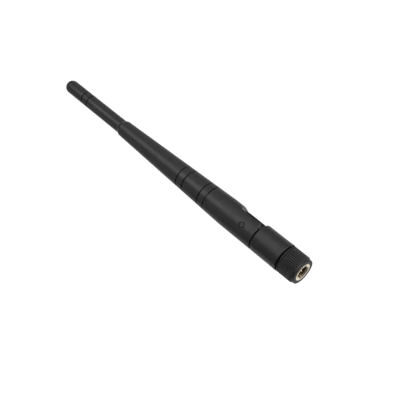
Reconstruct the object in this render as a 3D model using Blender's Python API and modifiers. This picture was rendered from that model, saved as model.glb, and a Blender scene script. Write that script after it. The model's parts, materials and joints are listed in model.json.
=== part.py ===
"""Folding omnidirectional whip antenna on a threaded coaxial plug.

Metres. +Z runs from the plug to the tip of the whip, and the origin is the centre of the
coupling nut's front face. The whip folds towards +X about a hinge axis that lies along Y.
"""

import math

import bmesh
import bpy
from mathutils import Matrix

# Outer casing, from the plug to the tip
CASING_RADIUS = 6.5e-3
NUT_REAR_Z = 9.1e-3
BASE_Z = 9.85e-3
SHOULDER_Z = 24.45e-3
EAR_END_Z = 24.85e-3
HINGE_Z = 31.9e-3
CONE_START_Z = 44.0e-3
SEAM_Z = 53.8e-3
CONE_END_Z = 114.9e-3
CONE_END_RADIUS = 4.02e-3
STEP_END_Z = 116.4e-3
STEP_RISE = STEP_END_Z - CONE_END_Z
STEM_RADIUS = 3.42e-3
TIP_RADIUS = 3.35e-3
TIP_Z = 159.5e-3
WALL = 0.9e-3
RING_GROOVES_Z = (57.7e-3, 68.05e-3, 72.2e-3, 140.85e-3, 144.85e-3)
GROOVE_HALF_WIDTH = 0.3e-3
GROOVE_DEPTH = 0.45e-3

# Coupling nut
NUT_RING_RADIUS = 4.2e-3
NUT_RIM_RADIUS = 5.9e-3
NUT_RIM_ROUND = 0.7e-3
KNURL_START_Z = 1.6e-3
KNURL_END_Z = 8.3e-3
KNURL_CREST_RADIUS = 6.38e-3
KNURL_ROOT_RADIUS = 6.12e-3
KNURL_RIDGES = 48
NUT_REAR_RADIUS = 6.42e-3
THREAD_RADIUS = 2.85e-3
THREAD_MOUTH_RADIUS = 3.2e-3
THREAD_START_Z = 0.4e-3
THREAD_END_Z = 5.45e-3
NUT_BORE_RADIUS = 2.55e-3
NUT_INSERT_END_Z = 8.75e-3

# Plug
PLUG_FACE_Z = 3.2e-3
BARREL_RADIUS = 2.28e-3
BARREL_BORE_RADIUS = 1.95e-3
GASKET_Z = 4.7e-3
PLUG_BODY_Z = 5.4e-3
PLUG_BODY_RADIUS = 2.45e-3
PLUG_FLANGE_Z = 8.85e-3
PLUG_FLANGE_END_Z = 9.45e-3
PLUG_FLANGE_RADIUS = 3.9e-3
PLUG_STEM_RADIUS = 2.3e-3
PLUG_STEM_END_Z = 14.85e-3
CRIMP_NECK_RADIUS = 1.15e-3
CRIMP_NECK_END_Z = 16.9e-3
FERRULE_RADIUS = 1.6e-3
FERRULE_END_Z = 19.1e-3
CABLE_BORE_RADIUS = 0.98e-3
CONTACT_TIP_Z = 0.8e-3
CONTACT_RADIUS = 0.46e-3
SOLDER_CUP_Z = 4.0e-3
SOLDER_CUP_RADIUS = 0.63e-3
INSULATOR_END_Z = 8.2e-3
RING_WIRE_RADIUS = 0.3e-3
NUT_RING_Z = 6.7e-3
NUT_RING_MEAN_RADIUS = 2.5e-3
SNAP_RING_Z = 13.15e-3
SNAP_RING_MEAN_RADIUS = 2.35e-3
RING_GROOVE_HALF_HEIGHT = 0.38e-3
RING_GROOVE_DEPTH = 0.38e-3

# Swivel base and hinge
BASE_FLARE = 0.1e-3
BASE_FLARE_LENGTH = 4.0e-3
SHOULDER_ROUND = 0.5e-3
BUSH_Z = 10.55e-3
BUSH_END_Z = 14.05e-3
BUSH_RADIUS = 3.9e-3
BUSH_BORE_RADIUS = 2.35e-3
BASE_HOLLOW_RADIUS = 3.5e-3
BASE_HOLLOW_END_Z = 21.7e-3
WASHER_Z = 9.55e-3
WASHER_END_Z = 10.45e-3
TONGUE_HALF_THICKNESS = 2.9e-3
TONGUE_HALF_WIDTH = 3.6e-3
SLOT_HALF_WIDTH = 3.2e-3
SLOT_RADIUS = 4.05e-3
EAR_CORNER_RADIUS = 7.3e-3
NOTCH_FLOOR_X = 5.3e-3
NOTCH_FLOOR_ABOVE_HINGE = 5.6e-3
NOTCH_END_ABOVE_HINGE = 7.1e-3
HINGE_PIN_RADIUS = 1.0e-3
HINGE_PIN_INNER_Y = 1.55e-3
HINGE_PIN_OUTER_Y = 6.3e-3
PIN_RECESS_RADIUS = 1.35e-3
PIN_RECESS_Y = 5.75e-3
CABLE_CHANNEL_RADIUS = 1.2e-3
CABLE_CHANNEL_BELOW_HINGE = 1.6e-3
FORK_HOLLOW_Z = 40.0e-3
FORK_HOLLOW_RADIUS = 4.2e-3
SPIGOT_RADIUS = 4.95e-3
SPIGOT_END_Z = 59.5e-3
SEAM_GAP = 0.12e-3

# Cable and radiating parts
CABLE_RADIUS = 0.9e-3
JACKET_BORE_RADIUS = 0.68e-3
BRAID_RADIUS = 0.64e-3
BRAID_BORE_RADIUS = 0.47e-3
DIELECTRIC_RADIUS = 0.43e-3
DIELECTRIC_BORE_RADIUS = 0.2e-3
CONDUCTOR_RADIUS = 0.15e-3
CABLE_FLEX_Z = 26.1e-3
CABLE_FLEX_END_Z = 37.7e-3
CABLE_GAP = 0.3e-3
SLEEVE_Z = 46.0e-3
SLEEVE_END_Z = 76.6e-3
SLEEVE_RADIUS = 2.6e-3
SLEEVE_BORE_RADIUS = 2.3e-3
SLEEVE_WASHER_THICKNESS = 0.8e-3
JACKET_END_Z = 74.0e-3
BRAID_END_Z = 77.2e-3
DIELECTRIC_END_Z = 79.0e-3
CONDUCTOR_END_Z = 80.5e-3
HEATSHRINK_LENGTH = 8.6e-3
HEATSHRINK_RADIUS = 0.95e-3
HEATSHRINK_BORE_RADIUS = 0.7e-3
RADIATOR_WIRE_Z = 80.8e-3
RADIATOR_WIRE_RADIUS = 0.4e-3
COIL_Z = 104.0e-3
COIL_TURNS = 4
COIL_PITCH = 1.6e-3
COIL_RADIUS = 1.5e-3
RADIATOR_TUBE_Z = 117.5e-3
RADIATOR_TUBE_END_Z = 151.0e-3
RADIATOR_TUBE_RADIUS = 1.0e-3
RADIATOR_TUBE_BORE_RADIUS = 0.55e-3
SPACER_THICKNESS = 4.0e-3
LOWER_SPACER_Z = 64.0e-3
LOWER_SPACER_RADIUS = 4.55e-3
UPPER_SPACER_Z = 124.0e-3
UPPER_SPACER_RADIUS = 2.4e-3

OUTER_SIDES = 48
INNER_SIDES = 24
CLEARANCE = 0.05e-3
STEP_GAP = 0.2e-3
OVERLAP = 1e-3
BEYOND = CASING_RADIUS + 2e-3
MERGE = 1e-6
SMOOTH_ANGLE = math.radians(35)


def clear_scene():
    for obj in list(bpy.data.objects):
        bpy.data.objects.remove(obj, do_unlink=True)


def new_collection(name):
    collection = bpy.data.collections.new(name)
    bpy.context.scene.collection.children.link(collection)
    return collection


def new_material(name, colour, roughness, metallic=0.0):
    material = bpy.data.materials.new(name)
    material.use_nodes = True
    shader = material.node_tree.nodes["Principled BSDF"]
    shader.inputs["Base Color"].default_value = (*colour, 1.0)
    shader.inputs["Roughness"].default_value = roughness
    shader.inputs["Metallic"].default_value = metallic
    return material


def new_body(name, z=0.0):
    """An empty on the joint axis that the body's pieces are parented to."""
    empty = bpy.data.objects.new(name, None)
    empty.location.z = z
    empty.empty_display_size = CASING_RADIUS
    PARTS.objects.link(empty)
    return empty


def add_part(obj, body, material):
    PARTS.objects.link(obj)
    obj.parent = body
    obj.matrix_parent_inverse = Matrix.Translation(-body.location)
    obj.data.materials.clear()
    obj.data.materials.append(material)
    return obj


def add_cutter(obj):
    CUTTERS.objects.link(obj)
    obj.hide_render = True
    obj.display_type = "WIRE"
    return obj


def combine(obj, other, operation="DIFFERENCE"):
    modifier = obj.modifiers.new(f"{operation.lower()} {other.name}", "BOOLEAN")
    modifier.operation = operation
    modifier.object = other


def turned(name, profile, sides=INNER_SIDES):
    """A solid of revolution about Z from (radius, z) points that run down the outer side."""
    closed = profile[0][0] > 0
    mesh = bpy.data.meshes.new(name)
    edges = [(i, i + 1) for i in range(len(profile) - 1)]
    if closed:
        edges.append((len(profile) - 1, 0))
    mesh.from_pydata([(radius, 0.0, z) for radius, z in profile], edges, [])
    obj = bpy.data.objects.new(name, mesh)
    screw = obj.modifiers.new("turn", "SCREW")
    screw.axis = "Z"
    screw.steps = screw.render_steps = sides
    screw.use_merge_vertices = True
    screw.merge_threshold = MERGE
    screw.use_smooth_shade = False
    return obj


def tube(name, low, high, radius, bore, sides=INNER_SIDES):
    return turned(name, [(radius, high), (radius, low), (bore, low), (bore, high)], sides)


def arc(centre, radius, start, end, steps):
    """Points on a circle from the start angle to the end angle, in degrees."""
    angles = [math.radians(start + (end - start) * i / steps) for i in range(steps + 1)]
    return [(centre[0] + radius * math.cos(a), centre[1] + radius * math.sin(a)) for a in angles]


def mesh_of_curve(obj):
    """The curve's evaluated mesh with its caps welded on, as a new object."""
    bpy.context.scene.collection.objects.link(obj)
    graph = bpy.context.evaluated_depsgraph_get()
    mesh = bpy.data.meshes.new_from_object(obj.evaluated_get(graph))
    work = bmesh.new()
    work.from_mesh(mesh)
    bmesh.ops.remove_doubles(work, verts=work.verts, dist=MERGE)
    bmesh.ops.recalc_face_normals(work, faces=work.faces)
    work.to_mesh(mesh)
    work.free()
    name, curve, placed = obj.name, obj.data, obj.matrix_world.copy()
    bpy.data.objects.remove(obj)
    bpy.data.curves.remove(curve)
    made = bpy.data.objects.new(name, mesh)
    made.matrix_world = placed
    return made


def plate(name, outlines, half_thickness):
    """A flat plate in the local XY plane; outlines after the first are holes."""
    curve = bpy.data.curves.new(name, "CURVE")
    curve.dimensions = "2D"
    curve.fill_mode = "BOTH"
    curve.extrude = half_thickness
    for outline in outlines:
        spline = curve.splines.new("POLY")
        spline.points.add(len(outline) - 1)
        for point, (x, y) in zip(spline.points, outline):
            point.co = (x, y, 0.0, 1.0)
        spline.use_cyclic_u = True
    return mesh_of_curve(bpy.data.objects.new(name, curve))


def side_plate(name, outline, half_thickness):
    """A plate whose outline is given as (x, z) and whose thickness is centred on Y."""
    obj = plate(name, [outline], half_thickness)
    obj.data.transform(Matrix.Rotation(math.radians(90), 4, "X"))
    return obj


def wire(name, points, radius, cyclic=False):
    curve = bpy.data.curves.new(name, "CURVE")
    curve.dimensions = "3D"
    curve.bevel_depth = radius
    curve.bevel_resolution = 2
    curve.use_fill_caps = True
    spline = curve.splines.new("POLY")
    spline.points.add(len(points) - 1)
    for point, position in zip(spline.points, points):
        point.co = (*position, 1.0)
    spline.use_cyclic_u = cyclic
    return mesh_of_curve(bpy.data.objects.new(name, curve))


def rod_along_y(name, radius, low, high, z, sides=INNER_SIDES):
    work = bmesh.new()
    bmesh.ops.create_cone(
        work, cap_ends=True, segments=sides, radius1=radius, radius2=radius, depth=high - low
    )
    turn = Matrix.Rotation(math.radians(-90), 4, "X")
    place = Matrix.Translation((0.0, (low + high) / 2, z))
    bmesh.ops.transform(work, matrix=place @ turn, verts=work.verts)
    mesh = bpy.data.meshes.new(name)
    work.to_mesh(mesh)
    work.free()
    return bpy.data.objects.new(name, mesh)


def cone_radius(z):
    share = (z - CONE_START_Z) / (CONE_END_Z - CONE_START_Z)
    return CASING_RADIUS + (CONE_END_RADIUS - CASING_RADIUS) * share


def ring_groove(z, radius_at):
    """The three profile points of a V groove, from its upper edge to its lower edge."""
    return [
        (radius_at(z + GROOVE_HALF_WIDTH), z + GROOVE_HALF_WIDTH),
        (radius_at(z) - GROOVE_DEPTH, z),
        (radius_at(z - GROOVE_HALF_WIDTH), z - GROOVE_HALF_WIDTH),
    ]


def open_ring(name, z, mean_radius):
    """A round-wire retaining ring with a gap in it."""
    half_gap = 20
    points = arc((0.0, 0.0), mean_radius, half_gap, 360 - half_gap, INNER_SIDES)
    return wire(name, [(x, y, z) for x, y in points], RING_WIRE_RADIUS)


def groove_inside(radius, z):
    """Profile points of a ring groove in a bore, from its lower edge to its upper edge."""
    low, high = z - RING_GROOVE_HALF_HEIGHT, z + RING_GROOVE_HALF_HEIGHT
    deep = radius + RING_GROOVE_DEPTH
    return [(radius, low), (deep, low), (deep, high), (radius, high)]


def groove_outside(radius, z):
    """Profile points of a ring groove on a shaft, from its upper edge to its lower edge."""
    low, high = z - RING_GROOVE_HALF_HEIGHT, z + RING_GROOVE_HALF_HEIGHT
    deep = radius - RING_GROOVE_DEPTH
    return [(radius, high), (deep, high), (deep, low), (radius, low)]


def make_plug(body):
    shell = [(CRIMP_NECK_RADIUS, CRIMP_NECK_END_Z), (CRIMP_NECK_RADIUS, PLUG_STEM_END_Z)]
    shell += [(PLUG_STEM_RADIUS, PLUG_STEM_END_Z)]
    shell += groove_outside(PLUG_STEM_RADIUS, SNAP_RING_Z)
    shell += [(PLUG_STEM_RADIUS, PLUG_FLANGE_END_Z), (PLUG_FLANGE_RADIUS, PLUG_FLANGE_END_Z)]
    shell += [(PLUG_FLANGE_RADIUS, PLUG_FLANGE_Z), (PLUG_BODY_RADIUS, PLUG_FLANGE_Z)]
    shell += groove_outside(PLUG_BODY_RADIUS, NUT_RING_Z)
    shell += [(PLUG_BODY_RADIUS, PLUG_BODY_Z), (BARREL_RADIUS, PLUG_BODY_Z)]
    shell += [(BARREL_RADIUS, PLUG_FACE_Z), (BARREL_BORE_RADIUS, PLUG_FACE_Z)]
    bore_end = INSULATOR_END_Z + 2 * CLEARANCE
    shell += [(BARREL_BORE_RADIUS, bore_end), (CABLE_BORE_RADIUS, bore_end)]
    shell += [(CABLE_BORE_RADIUS, CRIMP_NECK_END_Z)]
    add_part(turned("connector_shell", shell), body, GOLD)

    cup_z = SOLDER_CUP_Z - CLEARANCE
    insulator = [(BARREL_BORE_RADIUS - CLEARANCE, INSULATOR_END_Z)]
    insulator += [(BARREL_BORE_RADIUS - CLEARANCE, PLUG_FACE_Z)]
    insulator += [(CONTACT_RADIUS + CLEARANCE, PLUG_FACE_Z), (CONTACT_RADIUS + CLEARANCE, cup_z)]
    insulator += [(SOLDER_CUP_RADIUS + CLEARANCE, cup_z)]
    insulator += [(SOLDER_CUP_RADIUS + CLEARANCE, INSULATOR_END_Z)]
    add_part(turned("contact_insulator", insulator), body, PTFE)

    point_length = 0.5e-3
    point_radius = 0.2e-3
    cup_depth = 1.2e-3
    cup_bore = 0.35e-3
    contact = [(0.0, INSULATOR_END_Z - cup_depth), (cup_bore, INSULATOR_END_Z - cup_depth)]
    contact += [(cup_bore, INSULATOR_END_Z), (SOLDER_CUP_RADIUS, INSULATOR_END_Z)]
    contact += [(SOLDER_CUP_RADIUS, SOLDER_CUP_Z), (CONTACT_RADIUS, SOLDER_CUP_Z)]
    contact += [(CONTACT_RADIUS, CONTACT_TIP_Z + point_length), (point_radius, CONTACT_TIP_Z)]
    contact += [(0.0, CONTACT_TIP_Z)]
    add_part(turned("centre_contact", contact), body, GOLD)

    ring = open_ring("nut_retaining_ring", NUT_RING_Z, NUT_RING_MEAN_RADIUS)
    add_part(ring, body, SPRING_STEEL)
    ring = open_ring("swivel_snap_ring", SNAP_RING_Z, SNAP_RING_MEAN_RADIUS)
    add_part(ring, body, SPRING_STEEL)

    gasket_radii = (THREAD_RADIUS - 2 * CLEARANCE, BARREL_RADIUS + CLEARANCE)
    gasket = tube("sealing_gasket", GASKET_Z, PLUG_BODY_Z - CLEARANCE, *gasket_radii)
    add_part(gasket, body, SILICONE)
    washer_radii = (BUSH_RADIUS, PLUG_STEM_RADIUS + STEP_GAP)
    washer = tube("swivel_washer", WASHER_Z, WASHER_END_Z, *washer_radii)
    add_part(washer, body, NYLON)
    ferrule_radii = (FERRULE_RADIUS, CRIMP_NECK_RADIUS + CLEARANCE)
    ferrule = tube("crimp_ferrule", PLUG_STEM_END_Z + STEP_GAP, FERRULE_END_Z, *ferrule_radii)
    add_part(ferrule, body, GOLD)

    jacket_z = CRIMP_NECK_END_Z + STEP_GAP
    solder_z = INSULATOR_END_Z - cup_depth + STEP_GAP
    cable_end = CABLE_FLEX_Z - CABLE_GAP
    cable = [(0.0, cable_end), (CABLE_RADIUS, cable_end), (CABLE_RADIUS, jacket_z)]
    cable += [(BRAID_RADIUS, jacket_z), (BRAID_RADIUS, PLUG_FLANGE_END_Z)]
    cable += [(CONDUCTOR_RADIUS, PLUG_FLANGE_END_Z), (CONDUCTOR_RADIUS, solder_z)]
    cable += [(0.0, solder_z)]
    add_part(turned("coax_lower", cable), body, JACKET)


def make_coupling_nut(body):
    insert = [(NUT_RING_RADIUS, NUT_INSERT_END_Z), (NUT_RING_RADIUS, 0.0)]
    insert += [(THREAD_MOUTH_RADIUS, 0.0), (THREAD_RADIUS, THREAD_START_Z)]
    insert += [(THREAD_RADIUS, THREAD_END_Z), (NUT_BORE_RADIUS, THREAD_END_Z)]
    insert += groove_inside(NUT_BORE_RADIUS, NUT_RING_Z)
    insert += [(NUT_BORE_RADIUS, NUT_INSERT_END_Z)]
    add_part(turned("coupling_nut_insert", insert, OUTER_SIDES), body, NICKEL)

    bore = NUT_RING_RADIUS + CLEARANCE
    core_radius = KNURL_ROOT_RADIUS - 2 * CLEARANCE
    rounding = arc(
        (NUT_RIM_RADIUS - NUT_RIM_ROUND, NUT_RIM_ROUND), NUT_RIM_ROUND, 0, -90, 4
    )
    grip = [(NUT_REAR_RADIUS, NUT_REAR_Z), (NUT_REAR_RADIUS, KNURL_END_Z)]
    grip += [(core_radius, KNURL_END_Z), (core_radius, KNURL_START_Z)]
    grip += [(NUT_RIM_RADIUS, KNURL_START_Z), *rounding]
    grip += [(bore, 0.0), (bore, NUT_REAR_Z)]
    grip = add_part(turned("coupling_nut_grip", grip, OUTER_SIDES), body, GRIP_PLASTIC)

    outline = []
    for i in range(2 * KNURL_RIDGES):
        angle = math.pi * i / KNURL_RIDGES
        radius = KNURL_ROOT_RADIUS if i % 2 else KNURL_CREST_RADIUS
        outline.append((radius * math.cos(angle), radius * math.sin(angle)))
    low, high = KNURL_START_Z, KNURL_END_Z + 2 * CLEARANCE
    hole = arc((0.0, 0.0), (NUT_RING_RADIUS + KNURL_ROOT_RADIUS) / 2, 0, 360, OUTER_SIDES)[:-1]
    knurl = plate("knurl", [outline, hole], (high - low) / 2)
    knurl.location.z = (high + low) / 2
    combine(grip, add_cutter(knurl), "UNION")


def make_swivel_base(body):
    rounding = arc(
        (CASING_RADIUS - SHOULDER_ROUND, SHOULDER_Z - SHOULDER_ROUND), SHOULDER_ROUND, 90, 0, 5
    )
    housing = [(CABLE_CHANNEL_RADIUS, SHOULDER_Z), *rounding]
    housing += [(CASING_RADIUS, BASE_Z + BASE_FLARE_LENGTH)]
    housing += [(CASING_RADIUS + BASE_FLARE, BASE_Z + STEP_GAP)]
    housing += [(CASING_RADIUS + BASE_FLARE - STEP_GAP, BASE_Z)]
    mouth_radius, seat_radius = BUSH_RADIUS + STEP_GAP, BUSH_RADIUS + CLEARANCE
    seat_end = BUSH_END_Z + 2 * CLEARANCE
    housing += [(mouth_radius, BASE_Z), (mouth_radius, BUSH_Z), (seat_radius, BUSH_Z)]
    housing += [(seat_radius, seat_end), (BASE_HOLLOW_RADIUS, seat_end)]
    housing += [(BASE_HOLLOW_RADIUS, BASE_HOLLOW_END_Z)]
    housing += [(CABLE_CHANNEL_RADIUS, BASE_HOLLOW_END_Z)]
    housing = add_part(turned("swivel_housing", housing, OUTER_SIDES), body, CASING_PLASTIC)

    root = SHOULDER_Z - OVERLAP
    tongue = [(-TONGUE_HALF_WIDTH, root), (TONGUE_HALF_WIDTH, root)]
    tongue += arc((0.0, HINGE_Z), TONGUE_HALF_WIDTH, 0, 180, 24)
    tongue = side_plate("tongue", tongue, TONGUE_HALF_THICKNESS)
    combine(housing, add_cutter(tongue), "UNION")

    channel_z = HINGE_Z - CABLE_CHANNEL_BELOW_HINGE
    past = TONGUE_HALF_WIDTH + OVERLAP
    channel = [(-CABLE_CHANNEL_RADIUS, HINGE_Z + past), (-CABLE_CHANNEL_RADIUS, channel_z)]
    channel += [(past, channel_z), (past, HINGE_Z + past)]
    channel = side_plate("cable_channel", channel, CABLE_CHANNEL_RADIUS)
    combine(housing, add_cutter(channel))
    hole_low, hole_high = SHOULDER_Z - 2 * OVERLAP, channel_z + OVERLAP / 2
    hole = [(0.0, hole_high), (CABLE_CHANNEL_RADIUS, hole_high)]
    hole += [(CABLE_CHANNEL_RADIUS, hole_low), (0.0, hole_low)]
    combine(housing, add_cutter(turned("cable_hole", hole, OUTER_SIDES)))
    bore_radius = HINGE_PIN_RADIUS + CLEARANCE
    bore_y = TONGUE_HALF_THICKNESS + OVERLAP
    combine(housing, add_cutter(rod_along_y("tongue_bore", bore_radius, -bore_y, bore_y, HINGE_Z)))

    bush = [(BUSH_RADIUS, BUSH_END_Z), (BUSH_RADIUS, BUSH_Z), (BUSH_BORE_RADIUS, BUSH_Z)]
    bush += groove_inside(BUSH_BORE_RADIUS, SNAP_RING_Z)
    bush += [(BUSH_BORE_RADIUS, BUSH_END_Z)]
    add_part(turned("swivel_bush", bush, OUTER_SIDES), body, BRASS)


def make_fork(body):
    fork = [(SPIGOT_RADIUS, SPIGOT_END_Z), (SPIGOT_RADIUS, SEAM_Z)]
    fork += [(cone_radius(SEAM_Z) - GROOVE_DEPTH, SEAM_Z)]
    fork += [(cone_radius(SEAM_Z - GROOVE_HALF_WIDTH), SEAM_Z - GROOVE_HALF_WIDTH)]
    fork += [(CASING_RADIUS, CONE_START_Z), (CASING_RADIUS, EAR_END_Z)]
    fork += [(CABLE_CHANNEL_RADIUS, EAR_END_Z), (CABLE_CHANNEL_RADIUS, FORK_HOLLOW_Z)]
    fork += [(FORK_HOLLOW_RADIUS, FORK_HOLLOW_Z), (FORK_HOLLOW_RADIUS, SPIGOT_END_Z)]
    fork = add_part(turned("fork_housing", fork, OUTER_SIDES), body, CASING_PLASTIC)

    below = EAR_END_Z - 2 * OVERLAP
    floor_z = HINGE_Z + NOTCH_FLOOR_ABOVE_HINGE
    notch_z = HINGE_Z + NOTCH_END_ABOVE_HINGE
    run = (notch_z - floor_z) * (BEYOND - CASING_RADIUS) / (CASING_RADIUS - NOTCH_FLOOR_X)
    notch = [(NOTCH_FLOOR_X, below), (BEYOND, below), (BEYOND, notch_z + run)]
    notch += [(CASING_RADIUS, notch_z), (NOTCH_FLOOR_X, floor_z)]
    combine(fork, add_cutter(side_plate("notch", notch, BEYOND)))

    corner = arc((0.0, HINGE_Z), EAR_CORNER_RADIUS, -90, 0, 12)
    corner += [(BEYOND, HINGE_Z), (BEYOND, below), (0.0, below)]
    combine(fork, add_cutter(side_plate("ear_corner", corner, BEYOND)))

    slot = arc((0.0, HINGE_Z), SLOT_RADIUS, 90, 180, 12)
    slot += [(-SLOT_RADIUS, below), (BEYOND, below), (BEYOND, HINGE_Z + SLOT_RADIUS)]
    combine(fork, add_cutter(side_plate("slot", slot, SLOT_HALF_WIDTH)))

    for side, name in ((-1, "left"), (1, "right")):
        low, high = sorted((side * PIN_RECESS_Y, side * BEYOND))
        recess = rod_along_y(f"pin_recess_{name}", PIN_RECESS_RADIUS, low, high, HINGE_Z)
        combine(fork, add_cutter(recess))
        low, high = sorted((side * HINGE_PIN_INNER_Y, side * HINGE_PIN_OUTER_Y))
        pin = rod_along_y(f"hinge_pin_{name}", HINGE_PIN_RADIUS, low, high, HINGE_Z)
        add_part(pin, body, PIN_STEEL)
    bore_radius = HINGE_PIN_RADIUS + CLEARANCE
    combine(fork, add_cutter(rod_along_y("ear_bore", bore_radius, -BEYOND, BEYOND, HINGE_Z)))


def make_radome(body):
    tip_centre = (0.0, TIP_Z - TIP_RADIUS)
    radome = arc(tip_centre, TIP_RADIUS, 90, 0, 8)
    radome[0] = (0.0, TIP_Z)

    def stem_radius(z):
        share = (z - STEP_END_Z) / (tip_centre[1] - STEP_END_Z)
        return STEM_RADIUS + (TIP_RADIUS - STEM_RADIUS) * share

    for z in sorted(RING_GROOVES_Z, reverse=True):
        if z > STEP_END_Z:
            radome += ring_groove(z, stem_radius)
    radome += [(STEM_RADIUS, STEP_END_Z), (CONE_END_RADIUS, CONE_END_Z)]
    for z in sorted(RING_GROOVES_Z, reverse=True):
        if z < CONE_END_Z:
            radome += ring_groove(z, cone_radius)
    mouth_z = SEAM_Z + SEAM_GAP
    radome += [(cone_radius(mouth_z), mouth_z), (cone_radius(mouth_z) - WALL, mouth_z)]
    radome += [(CONE_END_RADIUS - WALL, CONE_END_Z - STEP_RISE), (STEM_RADIUS - WALL, CONE_END_Z)]
    radome += [(TIP_RADIUS - WALL, tip_centre[1])]
    radome += arc(tip_centre, TIP_RADIUS - WALL, 0, 90, 4)[1:-1]
    radome += [(0.0, TIP_Z - WALL)]
    add_part(turned("radome", radome, OUTER_SIDES), body, CASING_PLASTIC)


def make_cable(body):
    flex = [(0.0, CABLE_FLEX_END_Z), (CABLE_RADIUS, CABLE_FLEX_END_Z)]
    flex += [(CABLE_RADIUS, CABLE_FLEX_Z), (0.0, CABLE_FLEX_Z)]
    add_part(turned("coax_hinge_section", flex), body, JACKET)

    start = CABLE_FLEX_END_Z + CABLE_GAP
    jacket = tube("coax_upper_jacket", start, JACKET_END_Z, CABLE_RADIUS, JACKET_BORE_RADIUS)
    add_part(jacket, body, JACKET)
    braid = tube("coax_upper_braid", start, BRAID_END_Z, BRAID_RADIUS, BRAID_BORE_RADIUS)
    add_part(braid, body, TINNED_COPPER)
    dielectric_radii = (DIELECTRIC_RADIUS, DIELECTRIC_BORE_RADIUS)
    dielectric = tube("coax_upper_dielectric", start, DIELECTRIC_END_Z, *dielectric_radii)
    add_part(dielectric, body, PTFE)
    core = [(0.0, CONDUCTOR_END_Z), (CONDUCTOR_RADIUS, CONDUCTOR_END_Z)]
    core += [(CONDUCTOR_RADIUS, start), (0.0, start)]
    add_part(turned("coax_upper_conductor", core), body, COPPER)


def make_radiators(body):
    sleeve = tube("ground_sleeve", SLEEVE_Z, SLEEVE_END_Z, SLEEVE_RADIUS, SLEEVE_BORE_RADIUS)
    add_part(sleeve, body, BRASS)
    washer_z = SLEEVE_END_Z - SLEEVE_WASHER_THICKNESS
    washer_radii = (SLEEVE_BORE_RADIUS - CLEARANCE, BRAID_RADIUS + CLEARANCE)
    washer = tube("sleeve_end_washer", washer_z, SLEEVE_END_Z, *washer_radii)
    add_part(washer, body, BRASS)
    heatshrink_z = BRAID_END_Z + STEP_GAP
    heatshrink_end = heatshrink_z + HEATSHRINK_LENGTH
    heatshrink_radii = (HEATSHRINK_RADIUS, HEATSHRINK_BORE_RADIUS)
    heatshrink = tube("feed_heatshrink", heatshrink_z, heatshrink_end, *heatshrink_radii)
    add_part(heatshrink, body, HEATSHRINK)

    steps = 12
    coil_end = COIL_Z + COIL_TURNS * COIL_PITCH
    lead = 1.2e-3
    tube_overlap = 4e-3
    route = [(0.0, 0.0, RADIATOR_WIRE_Z), (0.0, 0.0, COIL_Z - lead)]
    for i in range(COIL_TURNS * steps + 1):
        angle = 2 * math.pi * i / steps
        height = COIL_Z + COIL_PITCH * i / steps
        route.append((COIL_RADIUS * math.cos(angle), COIL_RADIUS * math.sin(angle), height))
    route += [(0.0, 0.0, coil_end + lead), (0.0, 0.0, RADIATOR_TUBE_Z + tube_overlap)]
    add_part(wire("radiator_wire", route, RADIATOR_WIRE_RADIUS), body, COPPER)
    tube_radii = (RADIATOR_TUBE_RADIUS, RADIATOR_TUBE_BORE_RADIUS)
    radiator = tube("radiator_tube", RADIATOR_TUBE_Z, RADIATOR_TUBE_END_Z, *tube_radii)
    add_part(radiator, body, BRASS)

    spacers = (
        ("lower_spacer", LOWER_SPACER_Z, LOWER_SPACER_RADIUS, SLEEVE_RADIUS),
        ("upper_spacer", UPPER_SPACER_Z, UPPER_SPACER_RADIUS, RADIATOR_TUBE_RADIUS),
    )
    for name, z, radius, held_radius in spacers:
        spacer = tube(name, z, z + SPACER_THICKNESS, radius, held_radius + CLEARANCE)
        add_part(spacer, body, FOAM)


def shade_parts():
    for obj in PARTS.objects:
        if obj.type == "MESH" and obj.data.polygons:
            obj.data.shade_smooth()
            obj.data.set_sharp_from_angle(angle=SMOOTH_ANGLE)


clear_scene()
PARTS = new_collection("omnidirectional_antenna")
CUTTERS = new_collection("cutters")
CASING_PLASTIC = new_material("satin_black_plastic", (0.022, 0.022, 0.023), 0.45)
GRIP_PLASTIC = new_material("grip_black_plastic", (0.02, 0.02, 0.021), 0.5)
GOLD = new_material("gold_plated_brass", (0.83, 0.66, 0.36), 0.25, 1.0)
NICKEL = new_material("pale_gold_plating", (0.86, 0.78, 0.6), 0.22, 1.0)
BRASS = new_material("bare_brass", (0.72, 0.55, 0.28), 0.35, 1.0)
COPPER = new_material("copper_wire", (0.85, 0.45, 0.28), 0.35, 1.0)
TINNED_COPPER = new_material("tinned_copper_braid", (0.72, 0.71, 0.7), 0.45, 1.0)
SPRING_STEEL = new_material("spring_steel", (0.55, 0.55, 0.56), 0.3, 1.0)
PIN_STEEL = new_material("blackened_steel_pin", (0.05, 0.05, 0.052), 0.4, 1.0)
PTFE = new_material("white_ptfe", (0.85, 0.84, 0.8), 0.5)
NYLON = new_material("black_nylon", (0.03, 0.03, 0.03), 0.5)
SILICONE = new_material("red_silicone", (0.45, 0.08, 0.04), 0.6)
JACKET = new_material("brown_fep_jacket", (0.22, 0.1, 0.045), 0.35)
HEATSHRINK = new_material("black_heatshrink", (0.03, 0.03, 0.03), 0.55)
FOAM = new_material("grey_foam", (0.3, 0.3, 0.31), 0.9)

connector = new_body("connector")
coupling_nut = new_body("coupling_nut")
swivel_base = new_body("swivel_base")
whip = new_body("whip", HINGE_Z)

make_plug(connector)
make_coupling_nut(coupling_nut)
make_swivel_base(swivel_base)
make_fork(whip)
make_radome(whip)
make_cable(whip)
make_radiators(whip)
shade_parts()
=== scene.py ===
"""Looks of the folding omnidirectional antenna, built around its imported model.

Everything is in metres in the model's own frame: +Z runs from the plug to the tip, the whip
folds towards +X, and the centre of the coupling nut's front face is the origin.
"""

import json
import math
from itertools import product

import bpy
import numpy as np
from mathutils import Euler, Matrix, Vector


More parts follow.
